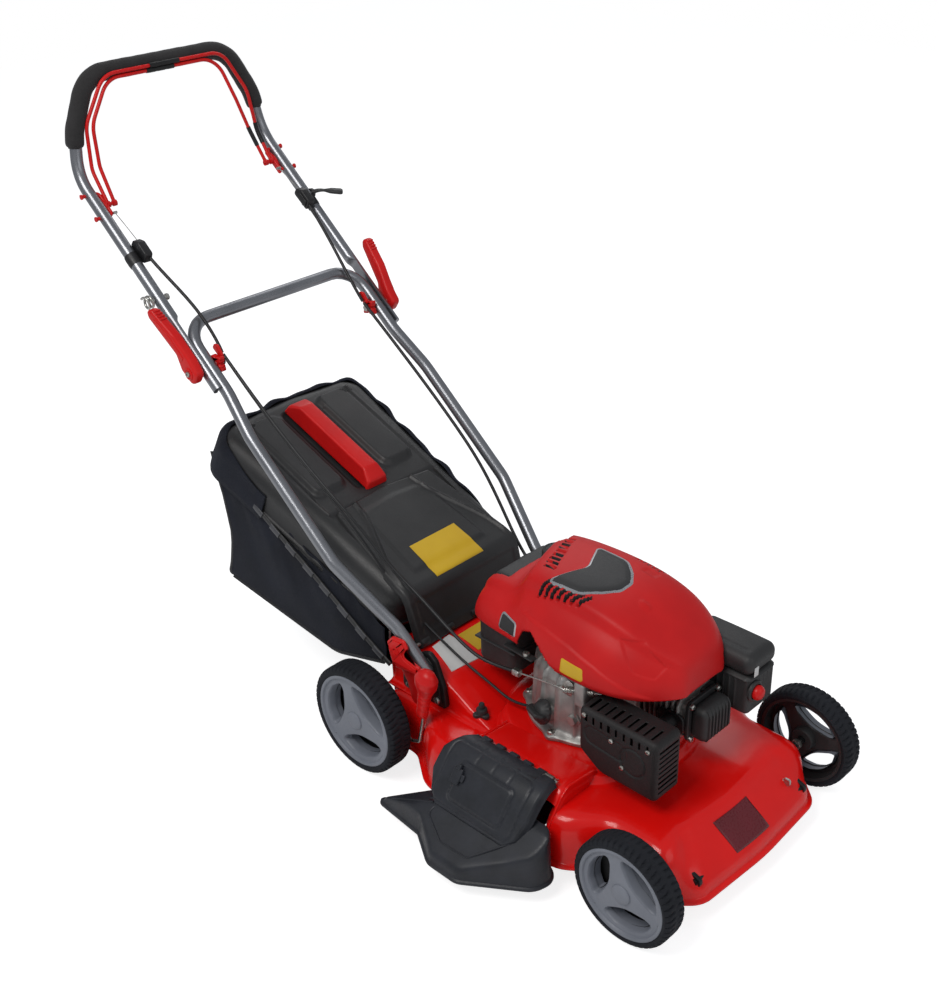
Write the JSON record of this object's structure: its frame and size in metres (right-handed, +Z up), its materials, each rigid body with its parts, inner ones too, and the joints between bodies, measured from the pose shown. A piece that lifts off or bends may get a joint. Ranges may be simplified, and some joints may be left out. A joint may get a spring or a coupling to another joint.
{
  "type": "lawn mower",
  "caption": "Petrol walk-behind lawn mower: pressed deck, side chute and flap, rear grass box, folding tube handle with hoops, crank height adjustment.",
  "frame": {"origin": "middle of the footprint of the whole machine's box, on the ground", "axes": "+X forwards, +Y to the operator's left, +Z up"},
  "size_m": [1.42, 0.624, 1.0839],
  "materials": {
    "red_paint": "gloss",
    "red_plastic": "satin",
    "black_plastic": "satin",
    "bag_fabric": "woven",
    "black_steel": "satin",
    "grey_plastic": "satin",
    "tyre_rubber": "matte",
    "grip_foam": "matte",
    "silver_paint": "satin metallic",
    "cast_aluminium": "cast",
    "steel": "satin"
  },
  "bodies": {
    "deck": {"deck_shell": "red_paint", "side_chute": "black_plastic", "deck_bracket_right": "black_steel", "deck_bracket_left": "black_steel", "crankcase": "cast_aluminium", "cylinder_head": "black_steel", "valve_cover": "black_steel", "muffler_guard": "black_steel", "engine_shroud": "red_plastic", "fuel_tank": "black_plastic", "air_filter_base": "black_plastic", "air_filter_cover": "black_plastic", "gearbox": "cast_aluminium", "drive_belt": "tyre_rubber", "lower_cable_right": "black_plastic", "lower_cable_left": "black_plastic"},
    "rotor": {"crankshaft": "steel", "blade_adapter": "cast_aluminium", "blade": "black_steel"},
    "drive_pulley": {"gearbox_pulley": "black_plastic"},
    "drive_shaft": {"drive_shaft": "steel"},
    "rear_crank": {"rear_axle": "black_steel", "height_lever": "steel", "height_grip": "red_plastic"},
    "front_crank": {"front_axle": "black_steel"},
    "height_link": {"height_link": "steel"},
    "rear_wheel_right": {"rear_tyre_right": "tyre_rubber", "rear_hub_right": "grey_plastic"},
    "rear_wheel_left": {"rear_tyre_left": "tyre_rubber", "rear_hub_left": "grey_plastic"},
    "front_wheel_right": {"front_tyre_right": "tyre_rubber", "front_hub_right": "grey_plastic"},
    "front_wheel_left": {"front_tyre_left": "tyre_rubber", "front_hub_left": "grey_plastic"},
    "lower_handle": {"lower_handle": "silver_paint", "cable_clamp_right": "red_plastic", "cable_clamp_left": "red_plastic"},
    "upper_handle": {"upper_handle": "silver_paint", "grip_foam": "grip_foam", "bail_bracket_right": "red_plastic", "bail_bracket_left": "red_plastic", "upper_cable_right": "black_plastic", "upper_cable_left": "black_plastic"},
    "cam_lever_right": {"cam_lever_right": "red_plastic"},
    "cam_lever_left": {"cam_lever_left": "red_plastic"},
    "lock_lever_right": {"lock_lever_right": "red_plastic"},
    "lock_lever_left": {"lock_lever_left": "red_plastic"},
    "stop_bail": {"stop_bail": "red_plastic"},
    "drive_bail": {"drive_bail": "red_plastic"},
    "throttle_lever": {"throttle_lever": "black_plastic"},
    "side_flap": {"side_flap": "black_plastic"},
    "rear_flap": {"rear_flap": "black_plastic"},
    "grass_box": {"bag_lid": "black_plastic", "lid_handle": "red_plastic", "bag": "bag_fabric", "bag_frame": "steel"},
    "primer_bulb": {"primer_bulb": "red_plastic"},
    "fuel_cap": {"fuel_cap": "black_plastic"},
    "oil_cap": {"oil_cap": "black_plastic"},
    "starter_handle": {"starter_handle": "black_plastic"}
  },
  "joints": [
    {"name": "blade_spin", "type": "hinge", "parent": "deck", "child": "rotor", "pos_m": [0.38331, 0.05, 0.1], "axis": [0, 0, 1], "continuous": true},
    {"name": "drive_pulley_spin", "type": "hinge", "parent": "deck", "child": "drive_pulley", "pos_m": [0.11331, 0.05, 0.117], "axis": [0, 0, 1], "continuous": true},
    {"name": "drive_shaft_spin", "type": "hinge", "parent": "deck", "child": "drive_shaft", "pos_m": [0.0893, 0.05, 0.07973], "axis": [0, 1, 0], "continuous": true},
    {"name": "cutting_height", "type": "hinge", "parent": "deck", "child": "rear_crank", "pos_m": [0.0893, 0.05, 0.07973], "axis": [0, -1, 0], "range_deg": [0, 44]},
    {"name": "front_height", "type": "hinge", "parent": "deck", "child": "front_crank", "pos_m": [0.66931, 0.05, 0.06823], "axis": [0, -1, 0], "range_deg": [0, 44]},
    {"name": "link_swing", "type": "hinge", "parent": "rear_crank", "child": "height_link", "pos_m": [0.08131, 0.157, 0.10473], "axis": [0, -1, 0], "range_deg": [-44, 0]},
    {"name": "rear_wheel_right_spin", "type": "hinge", "parent": "rear_crank", "child": "rear_wheel_right", "pos_m": [0.0383, -0.188, 0.10073], "axis": [0, 1, 0], "continuous": true},
    {"name": "front_wheel_right_spin", "type": "hinge", "parent": "front_crank", "child": "front_wheel_right", "pos_m": [0.6183, -0.1895, 0.08923], "axis": [0, 1, 0], "continuous": true},
    {"name": "rear_wheel_left_spin", "type": "hinge", "parent": "rear_crank", "child": "rear_wheel_left", "pos_m": [0.0383, 0.288, 0.10073], "axis": [0, 1, 0], "continuous": true},
    {"name": "front_wheel_left_spin", "type": "hinge", "parent": "front_crank", "child": "front_wheel_left", "pos_m": [0.6183, 0.2895, 0.08923], "axis": [0, 1, 0], "continuous": true},
    {"name": "lower_fold", "type": "hinge", "parent": "deck", "child": "lower_handle", "pos_m": [0.12672, 0.05, 0.21292], "axis": [0, -1, 0], "range_deg": [-115, 0], "deforming": ["lower_cable_right", "lower_cable_left"]},
    {"name": "upper_fold", "type": "hinge", "parent": "lower_handle", "child": "upper_handle", "pos_m": [-0.35469, 0.05, 0.627], "axis": [0, 1, 0], "range_deg": [0, 150]},
    {"name": "cam_lever_right_swing", "type": "hinge", "parent": "lower_handle", "child": "cam_lever_right", "pos_m": [-0.34408, -0.183, 0.61787], "axis": [0.6521, 0, 0.7581], "range_deg": [0, 115]},
    {"name": "lock_lever_right_turn", "type": "hinge", "parent": "deck", "child": "lock_lever_right", "pos_m": [0.12672, -0.137, 0.21292], "axis": [0, 1, 0], "range_deg": [0, 60]},
    {"name": "cam_lever_left_swing", "type": "hinge", "parent": "lower_handle", "child": "cam_lever_left", "pos_m": [-0.34408, 0.283, 0.61787], "axis": [-0.6521, 0, -0.7581], "range_deg": [0, 115]},
    {"name": "lock_lever_left_turn", "type": "hinge", "parent": "deck", "child": "lock_lever_left", "pos_m": [0.12672, 0.237, 0.21292], "axis": [0, 1, 0], "range_deg": [0, 60]},
    {"name": "stop_bail_pull", "type": "hinge", "parent": "upper_handle", "child": "stop_bail", "pos_m": [-0.62589, 0.05, 0.85763], "axis": [0, -1, 0], "range_deg": [-28, 0]},
    {"name": "drive_bail_pull", "type": "hinge", "parent": "upper_handle", "child": "drive_bail", "pos_m": [-0.62589, 0.05, 0.85763], "axis": [0, -1, 0], "range_deg": [-28, 0]},
    {"name": "throttle_turn", "type": "hinge", "parent": "upper_handle", "child": "throttle_lever", "pos_m": [-0.55072, 0.271, 0.80088], "axis": [0, -1, 0], "range_deg": [-20, 20]},
    {"name": "side_flap_lift", "type": "hinge", "parent": "deck", "child": "side_flap", "pos_m": [0.3683, -0.149, 0.163], "axis": [-1, 0, 0], "range_deg": [0, 75]},
    {"name": "rear_flap_lift", "type": "hinge", "parent": "deck", "child": "rear_flap", "pos_m": [0.0773, 0.05, 0.214], "axis": [0, 1, 0], "range_deg": [0, 30]},
    {"name": "grass_box_lift", "type": "slide", "parent": "deck", "child": "grass_box", "axis": [-0.9311, 0, 0.3649], "range_m": [0, 0.25]},
    {"name": "primer_push", "type": "slide", "parent": "deck", "child": "primer_bulb", "axis": [-1, 0, 0], "range_m": [0, 0.006], "stiffness_N_per_m": 400},
    {"name": "fuel_cap_turn", "type": "hinge", "parent": "deck", "child": "fuel_cap", "pos_m": [0.2163, 0.112, 0.35], "axis": [0, 0, 1], "range_deg": [0, 90]},
    {"name": "oil_cap_turn", "type": "hinge", "parent": "deck", "child": "oil_cap", "pos_m": [0.34131, -0.058, 0.1924], "axis": [-0.3267, -0.8868, 0.3267], "range_deg": [0, 90]},
    {"name": "starter_pull", "type": "slide", "parent": "deck", "child": "starter_handle", "axis": [1, 0, 0], "range_m": [-0.065, 0], "stiffness_N_per_m": 80, "springref_m": 0.05}
  ],
  "couplings": [
    {"joint": "front_height", "follows": "cutting_height", "ratio": 1},
    {"joint": "link_swing", "follows": "cutting_height", "ratio": -1},
    {"joint": "drive_pulley_spin", "follows": "blade_spin", "ratio": 0.76}
  ]
}
